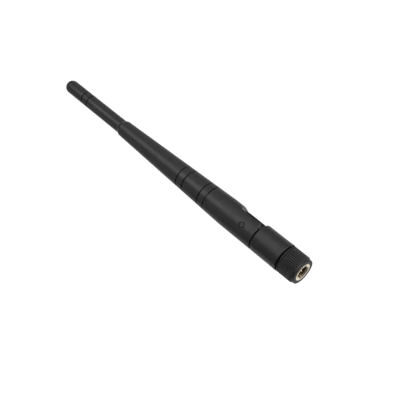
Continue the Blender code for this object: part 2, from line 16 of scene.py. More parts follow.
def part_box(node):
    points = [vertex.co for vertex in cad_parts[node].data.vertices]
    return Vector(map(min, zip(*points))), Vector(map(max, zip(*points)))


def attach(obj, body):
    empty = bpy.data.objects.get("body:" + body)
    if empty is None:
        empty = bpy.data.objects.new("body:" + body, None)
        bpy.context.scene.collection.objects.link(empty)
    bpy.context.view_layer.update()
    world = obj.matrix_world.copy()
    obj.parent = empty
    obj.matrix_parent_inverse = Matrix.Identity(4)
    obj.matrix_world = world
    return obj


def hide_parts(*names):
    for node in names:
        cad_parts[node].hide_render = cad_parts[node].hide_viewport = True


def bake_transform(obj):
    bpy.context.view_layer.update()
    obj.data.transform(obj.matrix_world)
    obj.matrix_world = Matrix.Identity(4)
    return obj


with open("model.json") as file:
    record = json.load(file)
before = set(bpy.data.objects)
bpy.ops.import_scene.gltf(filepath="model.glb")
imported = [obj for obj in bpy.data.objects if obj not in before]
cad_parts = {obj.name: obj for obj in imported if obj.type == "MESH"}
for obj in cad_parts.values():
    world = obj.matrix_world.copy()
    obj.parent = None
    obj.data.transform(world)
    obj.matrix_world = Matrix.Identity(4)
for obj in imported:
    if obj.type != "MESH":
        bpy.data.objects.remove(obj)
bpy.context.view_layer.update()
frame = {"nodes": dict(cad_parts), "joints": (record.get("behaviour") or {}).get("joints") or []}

MM = 1e-3

# Places that the model gives
hinge = next(joint for joint in frame["joints"] if joint["name"] == "whip_fold")
HINGE_Z = hinge["pos_m"][2]
TIP_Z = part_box("radome")[1].z
SEAM_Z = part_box("radome")[0].z
CASING_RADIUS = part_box("fork_housing")[1].y
EAR_END_Z, SPIGOT_END_Z = (corner.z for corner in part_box("fork_housing"))
BASE_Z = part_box("swivel_housing")[0].z
NUT_RING_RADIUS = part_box("coupling_nut_insert")[1].x
NUT_INSERT_END_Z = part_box("coupling_nut_insert")[1].z
NUT_REAR_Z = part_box("coupling_nut_grip")[1].z

# Radome
CONE_START_Z = 44.0 * MM
CONE_END_Z = 114.9 * MM
CONE_END_RADIUS = 4.02 * MM
STEP_END_Z = 116.4 * MM
STEM_RADIUS = 3.42 * MM
TIP_RADIUS = 3.35 * MM
WALL = 0.9 * MM
RING_GROOVES_Z = tuple(z * MM for z in (57.7, 68.05, 72.2, 140.85, 144.85))
GROOVE_HALF_WIDTH = 0.3 * MM
GROOVE_DEPTH = 0.45 * MM
SEAM_SHADE = 0.25 * MM

# Coupling nut and plug
PIECE_GAP = 0.05 * MM
RIM_RADIUS = 5.9 * MM
KNURL_ROOT_RADIUS = 6.02 * MM
KNURL_CREST_RADIUS = 6.4 * MM
COLLAR_RADIUS = 6.42 * MM
KNURL_START_Z = 1.4 * MM
KNURL_END_Z = 8.6 * MM
KNURL_RIDGES = 48
RETAINING_GROOVE_Z = 6.7 * MM
RETAINING_GROOVE_HALF = 0.38 * MM
NUT_BORE_RADIUS = 2.55 * MM
THREAD_MOUTH_RADIUS = 3.45 * MM
THREAD_START_Z = 0.6 * MM
THREAD_RADIUS = 2.85 * MM
THREAD_DEPTH = 0.3 * MM
THREAD_PITCH = 25.4 / 36 * MM
THREAD_END_Z = 5.45 * MM
NECK_RADIUS = 2.3 * MM
FLANGE_RADIUS = 3.9 * MM
FLANGE_Z = 8.85 * MM
FLANGE_END_Z = 9.45 * MM
PLUG_BODY_RADIUS = 2.45 * MM
CONTACT_RADIUS = 0.63 * MM
CONTACT_PIN_RADIUS = 0.46 * MM
CONTACT_STEP_Z = 4.0 * MM

# Swivel base and hinge
BASE_FLARE = 0.1 * MM
BASE_FLARE_HEIGHT = 4 * MM
BUSH_SEAT_RADIUS = 3.95 * MM
BUSH_SEAT_END_Z = 14.15 * MM
BASE_MOUTH_RADIUS = 4.2 * MM
BASE_MOUTH_END_Z = 10.55 * MM
BASE_HOLLOW_RADIUS = 3.5 * MM
BASE_HOLLOW_END_Z = 21.7 * MM
PLAIN_END_Z = 20.8 * MM
SHOULDER_Z = 24.45 * MM
SHOULDER_ROUNDING = 0.6 * MM
TONGUE_HALF_THICKNESS = 2.9 * MM
TONGUE_HALF_WIDTH = 3.6 * MM
SLOT_HALF_WIDTH = 3.2 * MM
SLOT_RADIUS = 4.05 * MM
EAR_CORNER_RADIUS = 7.3 * MM
NOTCH_FLOOR_X = 5.3 * MM
NOTCH_FLOOR_Z = HINGE_Z + 5.6 * MM
NOTCH_END_Z = HINGE_Z + 7.1 * MM
NOTCH_END_ROUNDING = 0.4 * MM
NOTCH_SHADE_SLANT = 0.75
SLOT_SHADE_START_Z = EAR_END_Z + 5.5 * MM
SPIGOT_RADIUS = 4.95 * MM
SPIGOT_BORE_RADIUS = 4.2 * MM
SPIGOT_BORE_START_Z = 40.0 * MM
PIN_RADIUS = 1.0 * MM
PIN_BORE_RADIUS = 1.05 * MM
PIN_RECESS_RADIUS = 1.35 * MM
PIN_RECESS_Y = 5.75 * MM
PIN_HEAD_RADIUS = 1.16 * MM
PIN_INNER_Y = 1.55 * MM
PIN_OUTER_Y = 6.38 * MM
CHANNEL_RADIUS = 1.2 * MM
CHANNEL_DROP = 1.6 * MM
CABLE_RADIUS = 0.9 * MM


def cone_radius(z):
    """The casing's outer radius above the notch."""
    share = (z - CONE_START_Z) / (CONE_END_Z - CONE_START_Z)
    return CASING_RADIUS + (CONE_END_RADIUS - CASING_RADIUS) * share


# ---------------------------------------------------------------- meshes


def new_piece(name, points, faces):
    mesh = bpy.data.meshes.new(name)
    mesh.from_pydata([tuple(p) for p in points], [], [tuple(f) for f in faces])
    mesh.validate()
    mesh.shade_smooth()
    piece = bpy.data.objects.new(name, mesh)
    bpy.context.scene.collection.objects.link(piece)
    return piece


def rounded(corners, steps=4):
    """An outline whose corners (radius, z, fillet) are drawn as short curves."""
    outline = []
    for i, (r, z, fillet) in enumerate(corners):
        here = Vector((r, z))
        if not fillet:
            outline.append((r, z))
            continue
        before = Vector(corners[i - 1][:2]) - here
        after = Vector(corners[(i + 1) % len(corners)][:2]) - here
        reach = fillet / math.tan(before.angle(after) / 2)
        reach = min(reach, 0.45 * before.length, 0.45 * after.length)
        first, last = here + before.normalized() * reach, here + after.normalized() * reach
        for k in range(steps + 1):
            t = k / steps
            point = first * (1 - t) ** 2 + here * 2 * t * (1 - t) + last * t**2
            outline.append(tuple(point))
    return outline


def lathe(name, outline, sides, radius_at=None):
    """A turned solid about Z. The outline runs down its outer side, and closes on itself
    or starts and ends on the axis. radius_at(angle, radius, z) reshapes it round the axis."""
    angles = np.arange(sides) * (2 * math.pi / sides)
    points, rings = [], []
    for r, z in outline:
        if r == 0.0:
            rings.append([len(points)] * sides)
            points.append((0.0, 0.0, z))
            continue
        radii = np.full(sides, r) if radius_at is None else radius_at(angles, r, z)
        rings.append(list(range(len(points), len(points) + sides)))
        points += [(a * math.cos(t), a * math.sin(t), z) for a, t in zip(radii, angles)]
    closed = outline[0][0] > 0.0
    faces = []
    for i in range(len(rings) if closed else len(rings) - 1):
        upper, lower = rings[i], rings[(i + 1) % len(rings)]
        for k in range(sides):
            n = (k + 1) % sides
            corners = [upper[n], upper[k], lower[k], lower[n]]
            faces.append(list(dict.fromkeys(corners)))
    piece = new_piece(name, points, faces)
    piece.data.set_sharp_from_angle(angle=math.radians(40))
    return piece


def slopes(distance, points):
    """The distance's gradient at the points, by central differences."""
    step = 0.01 * MM
    parts = []
    for axis in range(3):
        shift = np.zeros(3)
        shift[axis] = step
        ahead, behind = distance(*(points + shift).T), distance(*(points - shift).T)
        parts.append((ahead - behind) / (2 * step))
    return np.stack(parts, 1)


def moulded(name, distance, axes):
    """A closed mesh of the surface where distance(x, y, z) is zero. Each grid cell that the
    surface crosses holds one point, and each grid edge that it crosses becomes a face."""
    value = distance(*np.meshgrid(*axes, indexing="ij"))
    inside = value < 0

    def at(array, corner):
        return array[tuple(slice(c, n - 1 + c) for c, n in zip(corner, array.shape))]

    corners = list(product((0, 1), repeat=3))
    filled = sum(at(inside, c).astype(int) for c in corners)
    crossed = (filled > 0) & (filled < len(corners))
    cell = np.argwhere(crossed)
    number = np.full(crossed.shape, -1)
    number[crossed] = np.arange(len(cell))

    total, count = np.zeros((len(cell), 3)), np.zeros((len(cell), 1))
    for low in corners:
        for axis in range(3):
            if low[axis]:
                continue
            high = list(low)
            high[axis] = 1
            v0, v1 = at(value, low)[crossed], at(value, tuple(high))[crossed]
            cut = (v0 < 0) != (v1 < 0)
            share = np.where(cut, v0 / np.where(cut, v0 - v1, 1.0), 0.0)
            ends = [
                np.stack([axes[a][cell[:, a] + c[a]] for a in range(3)], 1) for c in (low, high)
            ]
            total += np.where(cut[:, None], ends[0] + (ends[1] - ends[0]) * share[:, None], 0.0)
            count += cut[:, None]
    points = total / count
    for _ in range(3):
        slope = slopes(distance, points)
        points -= slope * (distance(*points.T) / np.sum(slope**2, 1))[:, None]

    faces = []
    for axis in range(3):
        u, v = (axis + 1) % 3, (axis + 2) % 3
        near = inside.take(range(inside.shape[axis] - 1), axis)
        far = inside.take(range(1, inside.shape[axis]), axis)
        edge = np.argwhere(near != far)
        around = []
        for du, dv in ((1, 1), (0, 1), (0, 0), (1, 0)):
            place = edge.copy()
            place[:, u] -= du
            place[:, v] -= dv
            around.append(number[tuple(place.T)])
        quads = np.stack(around, 1)
        turned = far[tuple(edge.T)]
        quads[turned] = quads[turned][:, ::-1]
        faces += quads.tolist()
    piece = new_piece(name, points.tolist(), faces)
    normals = slopes(distance, points)
    normals /= np.linalg.norm(normals, axis=1, keepdims=True)
    piece.data.normals_split_custom_set_from_vertices(normals.tolist())
    return piece


def meet(a, b, rounding):
    """Where two solids overlap, with the edge between them rounded."""
    near = np.maximum(rounding - np.abs(a - b), 0.0)
    return np.maximum(a, b) + near**2 / (4 * rounding)


def join(a, b, rounding):
    return -meet(-a, -b, rounding)


def cut(a, b, rounding):
    return meet(a, -b, rounding)


EDGE = 0.3 * MM
FINE_EDGE = 0.12 * MM
CELL = 0.2 * MM


def spans(*stretches):
    """Grid lines along an axis, from stretches of (start, end, spacing)."""
    lines = []
    for start, end, spacing in stretches:
        count = max(1, round((end - start) / spacing))
        lines += [start + (end - start) * i / count for i in range(count)]
    return np.array(lines + [stretches[-1][1]])


# ---------------------------------------------------------------- pieces


def fork_distance(x, y, z):
    """The hinge's upper half: a tapered casing with a spigot on top, cut by the notch on the
    folding side, the slot for the tongue, the bore, and the pins' recesses and bores."""
    r = np.hypot(x, y)
    up = z - HINGE_Z
    casing = np.maximum(r - CASING_RADIUS, r - cone_radius(z))
    casing = meet(casing, z - (SEAM_Z - 0.05 * MM), EDGE)
    solid = join(casing, np.maximum(r - SPIGOT_RADIUS, z - SPIGOT_END_Z), FINE_EDGE)
    solid = meet(solid, EAR_END_Z - z, EDGE)
    ear = np.hypot(np.maximum(x, 0), np.maximum(-up, 0)) - EAR_CORNER_RADIUS
    solid = meet(solid, ear, EDGE)

    slope = Vector((NOTCH_FLOOR_Z - NOTCH_END_Z, CASING_RADIUS - NOTCH_FLOOR_X)).normalized()
    above = (x - NOTCH_FLOOR_X) * slope.x + (z - NOTCH_FLOOR_Z) * slope.y
    edge = np.interp(z, (NOTCH_FLOOR_Z, NOTCH_END_Z), (FINE_EDGE, NOTCH_END_ROUNDING))
    solid = cut(solid, meet(NOTCH_FLOOR_X - x, above, EDGE), edge)

    reach = np.hypot(np.maximum(-x, 0), np.maximum(up, 0)) - SLOT_RADIUS
    solid = cut(solid, meet(reach, np.abs(y) - SLOT_HALF_WIDTH, FINE_EDGE), FINE_EDGE)
    hollow = np.maximum(r - SPIGOT_BORE_RADIUS, SPIGOT_BORE_START_Z - z)
    solid = cut(solid, np.minimum(hollow, r - CHANNEL_RADIUS), FINE_EDGE)
    pin = np.hypot(x, up)
    recess = np.maximum(pin - PIN_RECESS_RADIUS, PIN_RECESS_Y - np.abs(y))
    return cut(solid, np.minimum(recess, pin - PIN_BORE_RADIUS), FINE_EDGE)


def make_fork():
    margin = 0.5 * MM
    outer, near_pin = CASING_RADIUS + margin, PIN_RECESS_RADIUS + CELL
    beside, over_pin = (-outer, -near_pin, CELL), (-near_pin, near_pin, CELL / 2)
    across = spans(beside, over_pin, (near_pin, outer, CELL))
    deep = spans((-outer, outer, CELL))
    along = spans(
        (EAR_END_Z - margin, HINGE_Z - near_pin, CELL),
        (HINGE_Z - near_pin, HINGE_Z + near_pin, CELL / 2),
        (HINGE_Z + near_pin, NOTCH_END_Z + 2 * MM, CELL),
        (NOTCH_END_Z + 2 * MM, SEAM_Z - 1 * MM, 0.8 * MM),
        (SEAM_Z - 1 * MM, SEAM_Z + 0.6 * MM, CELL),
        (SEAM_Z + 0.6 * MM, SPIGOT_END_Z - 0.5 * MM, 0.8 * MM),
        (SPIGOT_END_Z - 0.5 * MM, SPIGOT_END_Z + margin, CELL),
    )
    return moulded("hinge_fork", fork_distance, (across, deep, along))


def base_distance(x, y, z):
    """The swivel base: a slightly flared cylinder with the hinge's tongue on top, hollow for the
    bush, with a channel in the tongue that lets the cable bend towards +X."""
    r = np.hypot(x, y)
    up = z - HINGE_Z
    flare = BASE_FLARE * np.clip(1 - (z - BASE_Z) / BASE_FLARE_HEIGHT, 0, 1)
    solid = meet(r - CASING_RADIUS - flare, z - SHOULDER_Z, SHOULDER_ROUNDING)
    solid = meet(solid, BASE_Z - z, EDGE)
    tongue = np.hypot(x, np.maximum(up, 0)) - TONGUE_HALF_WIDTH
    tongue = meet(tongue, np.abs(y) - TONGUE_HALF_THICKNESS, EDGE)
    solid = join(solid, np.maximum(tongue, SHOULDER_Z - MM - z), EDGE)
    seat = np.maximum(r - BUSH_SEAT_RADIUS, z - BUSH_SEAT_END_Z)
    mouth = np.maximum(r - BASE_MOUTH_RADIUS, z - BASE_MOUTH_END_Z)
    hollow = np.maximum(r - BASE_HOLLOW_RADIUS, z - BASE_HOLLOW_END_Z)
    bore = np.maximum(r - CHANNEL_RADIUS, up + MM)
    solid = cut(solid, np.minimum(np.minimum(seat, mouth), np.minimum(hollow, bore)), FINE_EDGE)
    channel = np.maximum(np.abs(y) - CHANNEL_RADIUS, -CHANNEL_RADIUS - x)
    channel = np.maximum(channel, -CHANNEL_DROP - up)
    solid = cut(solid, channel, EDGE)
    pin = np.maximum(np.hypot(x, up) - PIN_BORE_RADIUS, np.abs(y) - CASING_RADIUS)
    return cut(solid, pin, FINE_EDGE)


def make_base():
    margin = 0.5 * MM
    across = spans((-CASING_RADIUS - margin, CASING_RADIUS + margin, CELL))
    top = HINGE_Z + TONGUE_HALF_WIDTH
    along = spans(
        (BASE_Z - margin, BASE_Z + 1.2 * MM, CELL),
        (BASE_Z + 1.2 * MM, PLAIN_END_Z, 0.6 * MM),
        (PLAIN_END_Z, top + margin, CELL),
    )
    return moulded("swivel_base_housing", base_distance, (across, across, along))


def dip(z, centre, half_width):
    """The share of a groove's depth at z, smooth at its edges and its floor."""
    t = min(1.0, max(0.0, 2.2 * (1 - abs(z - centre) / half_width)))
    return t * t * (3 - 2 * t)


def make_radome():
    """The hollow cover: domed tip, slim stem, step, and a cone with ring grooves."""
    stem_end = TIP_Z - TIP_RADIUS

    def outer_radius(z):
        if z > STEP_END_Z:
            share = (z - STEP_END_Z) / (stem_end - STEP_END_Z)
            plain = STEM_RADIUS + (TIP_RADIUS - STEM_RADIUS) * share
        else:
            plain = cone_radius(z)
        return plain - GROOVE_DEPTH * sum(dip(z, g, GROOVE_HALF_WIDTH) for g in RING_GROOVES_Z)

    def stretch(high, low, step=4 * MM):
        """Rows from high down to low, closer together at each groove."""
        rows = {high, low}
        count = math.ceil((high - low) / step)
        rows.update(high + (low - high) * i / count for i in range(count))
        for groove in RING_GROOVES_Z:
            near = [groove + GROOVE_HALF_WIDTH * k / 6 for k in range(-7, 8)]
            if low < groove < high:
                rows = {z for z in rows if abs(z - groove) > 1.5 * GROOVE_HALF_WIDTH}
                rows.update(near)
        return [(outer_radius(z), z) for z in sorted(rows, reverse=True)]

    dome = [(TIP_RADIUS * math.sin(a), stem_end + TIP_RADIUS * math.cos(a))
            for a in (math.pi / 2 * i / 20 for i in range(20))]
    dome[0] = (0.0, TIP_Z)
    above_step, cone_top, above_rim = STEP_END_Z + 0.5 * MM, CONE_END_Z - 1.5 * MM, SEAM_Z + 0.6 * MM
    outline = dome + stretch(stem_end, above_step)
    step = [(STEM_RADIUS, above_step, 0), (STEM_RADIUS, STEP_END_Z, 0.9 * MM)]
    step += [(CONE_END_RADIUS, CONE_END_Z, 0.5 * MM), (cone_radius(cone_top), cone_top, 0)]
    outline += rounded(step, 6)[1:-1] + stretch(cone_top, above_rim)
    mouth = cone_radius(SEAM_Z)
    rim = [(cone_radius(above_rim), above_rim, 0), (mouth, SEAM_Z, 0.2 * MM)]
    rim += [(mouth - WALL, SEAM_Z, 0.1 * MM), (CONE_END_RADIUS - WALL, CONE_END_Z - 1.2 * MM, 0)]
    rim += [(STEM_RADIUS - WALL, CONE_END_Z, 0)]
    outline += rounded(rim)[1:]
    bore = TIP_RADIUS - WALL
    outline += [(bore * math.cos(a), stem_end + bore * math.sin(a))
                for a in (math.pi / 2 * i / 8 for i in range(8))]
    outline.append((0.0, stem_end + bore))
    return lathe("antenna_radome", outline, 128)


def make_grip():
    """The nut's grip, with ridges that run out at both ends."""
    first, last, ramp = KNURL_START_Z, KNURL_END_Z, 0.35 * MM
    root, collar = KNURL_ROOT_RADIUS, COLLAR_RADIUS
    bore = NUT_RING_RADIUS + PIECE_GAP

    def radius_at(angles, r, z):
        share = min(1.0, max(0.0, min(z - first, last - z) / ramp))
        if r < root - 0.05 * MM or share == 0.0:
            return np.full(len(angles), r)
        phase = (angles * KNURL_RIDGES / (2 * math.pi)) % 1.0
        ridge = np.clip(1.6 - 3.2 * np.abs(phase - 0.5), 0.0, 1.0)
        return r + (KNURL_CREST_RADIUS - root) * share * ridge

    corners = [(bore, NUT_REAR_Z, 0.1 * MM), (collar, NUT_REAR_Z, 0.15 * MM)]
    corners += [(collar, last, 0.1 * MM)]
    rows, slant = 26, 0.02 * MM
    high, low = last - slant, first + slant
    corners += [(root, high + (low - high) * i / rows, 0) for i in range(rows + 1)]
    corners += [(RIM_RADIUS, first - slant, 0.05 * MM), (RIM_RADIUS, 0.0, 0.25 * MM)]
    corners += [(bore, 0.0, 0.12 * MM)]
    return lathe("nut_grip", rounded(corners, 6), KNURL_RIDGES * 10, radius_at)


def make_insert():
    """The nut's threaded metal insert, with a real helix cut into its bore."""
    start, last, fade = THREAD_START_Z, THREAD_END_Z, 0.5 * MM
    bore, ring_z, ring_half = NUT_BORE_RADIUS, RETAINING_GROOVE_Z, RETAINING_GROOVE_HALF

    def radius_at(angles, r, z):
        if abs(r - THREAD_RADIUS) > 1e-6:
            return np.full(len(angles), r)
        phase = (z / THREAD_PITCH - angles / (2 * math.pi)) % 1.0
        flank = np.clip(1.5 - 3.4 * np.abs(phase - 0.5), 0.0, 1.0)
        run_out = min(1.0, (z - start) / (0.3 * fade) + 0.2, max(0.0, last - z) / fade)
        return r + THREAD_DEPTH * run_out * flank

    corners = [(NUT_RING_RADIUS, NUT_INSERT_END_Z, 0.1 * MM), (NUT_RING_RADIUS, 0.0, 0.12 * MM)]
    corners += [(THREAD_MOUTH_RADIUS, 0.0, 0.08 * MM)]
    rows = round((last - start) / THREAD_PITCH * 14)
    corners += [(THREAD_RADIUS, start + (last - start) * i / rows, 0) for i in range(rows + 1)]
    corners += [(bore, last, 0), (bore, ring_z - ring_half, 0)]
    corners += [(bore + ring_half, ring_z - ring_half, 0), (bore + ring_half, ring_z + ring_half, 0)]
    corners += [(bore, ring_z + ring_half, 0), (bore, NUT_INSERT_END_Z, 0)]
    return lathe("nut_threaded_insert", rounded(corners), 120, radius_at)


def along_y(piece, z):
    piece.data.transform(Matrix.Translation((0, 0, z)) @ Matrix.Rotation(-math.pi / 2, 4, "X"))
    return piece


def make_pin(name, side):
    """A stub pin with a flat, chamfered head; side is -1 or 1 along Y."""
    low, high, chamfer = PIN_INNER_Y, PIN_OUTER_Y, 0.1 * MM
    head, under_head = PIN_HEAD_RADIUS, PIN_RECESS_Y + 0.03 * MM
    outline = [(0.0, high, 0), (head - chamfer, high, 0.06 * MM)]
    outline += [(head, high - chamfer, 0.06 * MM), (head, under_head, 0.03 * MM)]
    outline += [(PIN_RADIUS, under_head, 0), (PIN_RADIUS, low, 0.1 * MM), (0.0, low, 0)]
    pin = lathe(name, rounded(outline), 48)
    if side < 0:
        pin.data.transform(Matrix.Rotation(math.pi, 4, "X"))
    return along_y(pin, HINGE_Z)


def make_plug_shell():
    """The plug: stem, neck with a ring groove, flange, body with a ring groove, and bore."""

    def ring_groove(radius, z, half=RETAINING_GROOVE_HALF):
        bottom = radius - half
        return [(radius, z + half, 0), (bottom, z + half, 0), (bottom, z - half, 0), (radius, z - half, 0)]

    low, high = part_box("connector_shell")
    gasket_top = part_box("sealing_gasket")[1].z
    stem, stem_z, neck_groove_z = 1.15 * MM, 14.85 * MM, 13.15 * MM
    nose, bore, cable_bore, bore_end_z = 2.28 * MM, 1.95 * MM, 0.98 * MM, 8.3 * MM
    outline = [(stem, high.z, 0.1 * MM), (stem, stem_z, 0), (NECK_RADIUS, stem_z, 0.15 * MM)]
    outline += [*ring_groove(NECK_RADIUS, neck_groove_z), (NECK_RADIUS, FLANGE_END_Z, 0)]
    outline += [(FLANGE_RADIUS, FLANGE_END_Z, 0.08 * MM), (FLANGE_RADIUS, FLANGE_Z, 0.08 * MM)]
    outline += [(PLUG_BODY_RADIUS, FLANGE_Z, 0), *ring_groove(PLUG_BODY_RADIUS, RETAINING_GROOVE_Z)]
    outline += [(PLUG_BODY_RADIUS, gasket_top, 0.08 * MM), (nose, gasket_top, 0)]
    outline += [(nose, low.z, 0.12 * MM), (bore, low.z, 0.1 * MM), (bore, bore_end_z, 0)]
    outline += [(cable_bore, bore_end_z, 0), (cable_bore, high.z, 0)]
    return lathe("plug_shell", rounded(outline), 96)


def make_contact():
    """The contact's pin and, behind it, the cup that holds the cable's wire."""
    low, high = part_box("centre_contact")
    cup, cup_floor_z = 0.35 * MM, high.z - 1.2 * MM
    outline = [(0.0, cup_floor_z, 0), (cup, cup_floor_z, 0), (cup, high.z, 0)]
    outline += [(CONTACT_RADIUS, high.z, 0.05 * MM), (CONTACT_RADIUS, CONTACT_STEP_Z, 0.05 * MM)]
    outline += [(CONTACT_PIN_RADIUS, CONTACT_STEP_Z, 0), (CONTACT_PIN_RADIUS, low.z + 0.5 * MM, 0.15 * MM)]
    outline += [(0.2 * MM, low.z, 0.12 * MM), (0.0, low.z, 0)]
    return lathe("contact_pin", rounded(outline), 40)


def make_insulator():
    """The bead round the contact, dished at its front."""
    low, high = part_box("contact_insulator")
    outer, dish, pin_bore, bore = 1.91 * MM, 0.8 * MM, 0.5 * MM, 0.67 * MM
    dish_z, step_z = low.z + 0.25 * MM, CONTACT_STEP_Z - 0.04 * MM
    outline = [(outer, high.z, 0.05 * MM), (outer, low.z, 0.12 * MM), (1.0 * MM, low.z, 0.05 * MM)]
    outline += [(dish, dish_z, 0.05 * MM), (pin_bore, dish_z, 0.03 * MM), (pin_bore, step_z, 0)]
    outline += [(bore, step_z, 0), (bore, high.z, 0)]
    return lathe("contact_bead", rounded(outline), 72)


def make_gasket():
    low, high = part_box("sealing_gasket")
    inner = 2.32 * MM
    outline = [(high.x, high.z, 0.12 * MM), (high.x, low.z, 0.2 * MM)]
    outline += [(inner, low.z, 0.15 * MM), (inner, high.z, 0.1 * MM)]
    return lathe("flat_gasket", rounded(outline), 72)


def make_flexing_cable():
    """The stretch of cable that bends with the hinge, in enough rows to bend smoothly."""
    low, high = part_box("coax_lower")[1].z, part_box("coax_upper_jacket")[0].z
    rows = 60
    outline = [(0.0, high)]
    outline += [(CABLE_RADIUS, high + (low - high) * i / rows) for i in range(rows + 1)]
    outline.append((0.0, low))
    return lathe("coax_at_hinge", outline, 24)


# ---------------------------------------------------------------- materials


class Finish:
    """A Principled material whose textures are laid out in millimetres on the piece."""

    def __init__(self, name, colour, roughness, metallic=0.0, **sockets):
        self.material = bpy.data.materials.new(name)
        self.material.use_nodes = True
        self.tree = self.material.node_tree
        self.shader = self.tree.nodes["Principled BSDF"]
        self.colour, self.roughness = colour, roughness
        self.shader.inputs["Base Color"].default_value = (*colour, 1.0)
        self.shader.inputs["Metallic"].default_value = metallic
        for socket, value in sockets.items():
            self.shader.inputs[socket.replace("_", " ")].default_value = value
        coordinates = self.node("ShaderNodeTexCoord").outputs["Object"]
        scaled = self.node("ShaderNodeVectorMath", {0: coordinates}, operation="SCALE")
        scaled.inputs["Scale"].default_value = 1 / MM
        self.place = scaled.outputs[0]
        self.bump = None

    def node(self, kind, inputs=None, **settings):
        made = self.tree.nodes.new(kind)
        for name, value in settings.items():
            setattr(made, name, value)
        for socket, value in (inputs or {}).items():
            if isinstance(value, bpy.types.NodeSocket):
                self.tree.links.new(value, made.inputs[socket])
            else:
                made.inputs[socket].default_value = value
        return made

    def stretched(self, factors):
        inputs = {0: self.place, 1: factors}
        return self.node("ShaderNodeVectorMath", inputs, operation="MULTIPLY").outputs[0]

    def noise(self, per_mm, detail=3.0, roughness=0.55, place=None):
        inputs = {"Vector": place or self.place, "Scale": per_mm, "Detail": detail, "Roughness": roughness}
        return self.node("ShaderNodeTexNoise", inputs).outputs["Fac"]

    def between(self, value, low, high, start=0.0, end=1.0):
        inputs = {"Value": value, "From Min": start, "From Max": end, "To Min": low, "To Max": high}
        return self.node("ShaderNodeMapRange", inputs).outputs["Result"]

    def mix(self, share, colour_a, colour_b):
        """Colours may be (r, g, b) or a socket."""
        made = self.node("ShaderNodeMix", data_type="RGBA")
        sockets = [s for s in made.inputs if s.type == "RGBA"]
        for socket, colour in zip(sockets, (colour_a, colour_b)):
            if isinstance(colour, bpy.types.NodeSocket):
                self.tree.links.new(colour, socket)
            else:
                socket.default_value = (*colour, 1.0)
        self.tree.links.new(share, made.inputs["Factor"])
        return next(s for s in made.outputs if s.type == "RGBA")

    def raise_by(self, height, depth_mm, strength=1.0):
        """Adds a relief; depth is in millimetres."""
        inputs = {"Height": height, "Distance": depth_mm * MM, "Strength": strength}
        if self.bump is not None:
            inputs["Normal"] = self.bump
        self.bump = self.node("ShaderNodeBump", inputs).outputs["Normal"]

    def finish(self, colour=None, roughness=None):
        links = self.tree.links
        if colour is not None:
            links.new(colour, self.shader.inputs["Base Color"])
        links.new(roughness, self.shader.inputs["Roughness"])
        if self.bump is not None:
            links.new(self.bump, self.shader.inputs["Normal"])
        return self.material


def shade(colour, factor):
    return tuple(c * factor for c in colour)


def moulded_plastic(name, colour, roughness, grain_per_mm, grain_mm, specular=0.5):
    """Satin plastic with a spark-eroded grain, faint flow marks and lighter colour on sharp outer edges.
    """
    skin = Finish(name, colour, roughness, Specular_IOR_Level=specular)
    patches = skin.noise(0.22, 2.0)
    flow = skin.noise(0.5, 4.0, place=skin.stretched((1.0, 1.0, 0.25)))
    grain = skin.noise(grain_per_mm, 2.0)
    tone = skin.mix(skin.between(patches, 0, 1, 0.3, 0.7), shade(colour, 0.85), shade(colour, 1.15))
    pointed = skin.node("ShaderNodeNewGeometry").outputs["Pointiness"]
    # Colour is lightened where the mesh is sharply convex.
    lightened_edges = skin.between(pointed, 0.0, 0.5, 0.53, 0.62)
    tone = skin.mix(lightened_edges, tone, shade(colour, 2.2))
    rough = skin.between(flow, roughness - 0.05, roughness + 0.06, 0.3, 0.7)
    skin.raise_by(grain, grain_mm)
    skin.raise_by(flow, 0.02, 0.4)
    return skin.finish(tone, rough)


def plated_metal(name, colour, roughness, turned_marks=True):
    """Plated metal with fine tool marks round the axis and slightly uneven plating."""
    metal = Finish(name, colour, roughness, 1.0)
    patches = metal.noise(0.7, 3.0)
    tone = metal.mix(metal.between(patches, 0, 1, 0.3, 0.7), shade(colour, 0.86), colour)
    marks = metal.noise(6.0, 3.0, place=metal.stretched((0.3, 0.3, 3.0)))
    rough = metal.between(metal.noise(2.0, 3.0), roughness - 0.06, roughness + 0.1, 0.3, 0.7)
    if turned_marks:
        metal.raise_by(marks, 0.008, 0.5)
    return metal.finish(tone, rough)


def soft_polymer(name, colour, roughness, sheen_patches=0.4, **sockets):
    """Waxy or rubbery polymer with a fine uneven skin."""
    skin = Finish(name, colour, roughness, **sockets)
    patches = skin.noise(sheen_patches, 3.0)
    tone = skin.mix(skin.between(patches, 0, 1, 0.3, 0.7), shade(colour, 0.88), shade(colour, 1.06))
    rough = skin.between(skin.noise(3.0, 3.0), roughness - 0.06, roughness + 0.08, 0.3, 0.7)
    skin.raise_by(skin.noise(5.0, 3.0), 0.015, 0.6)
    return skin.finish(tone, rough)


def cable_jacket(name, colour, roughness):
    """Extruded jacket with faint lengthwise die lines and the braid showing through."""
    skin = Finish(name, colour, roughness, Coat_Weight=0.25, Coat_Roughness=0.2)
    lines = skin.noise(7.0, 2.0, place=skin.stretched((1.0, 1.0, 0.05)))
    weave = skin.node("ShaderNodeTexWave", {"Vector": skin.place, "Scale": 1.1, "Distortion": 1.5},
                      bands_direction="DIAGONAL").outputs["Fac"]
    tone = skin.mix(weave, shade(colour, 0.8), shade(colour, 1.15))
    skin.raise_by(lines, 0.01, 0.5)
    skin.raise_by(weave, 0.012, 0.4)
    rough = skin.between(lines, roughness - 0.05, roughness + 0.08, 0.3, 0.7)
    return skin.finish(tone, rough)


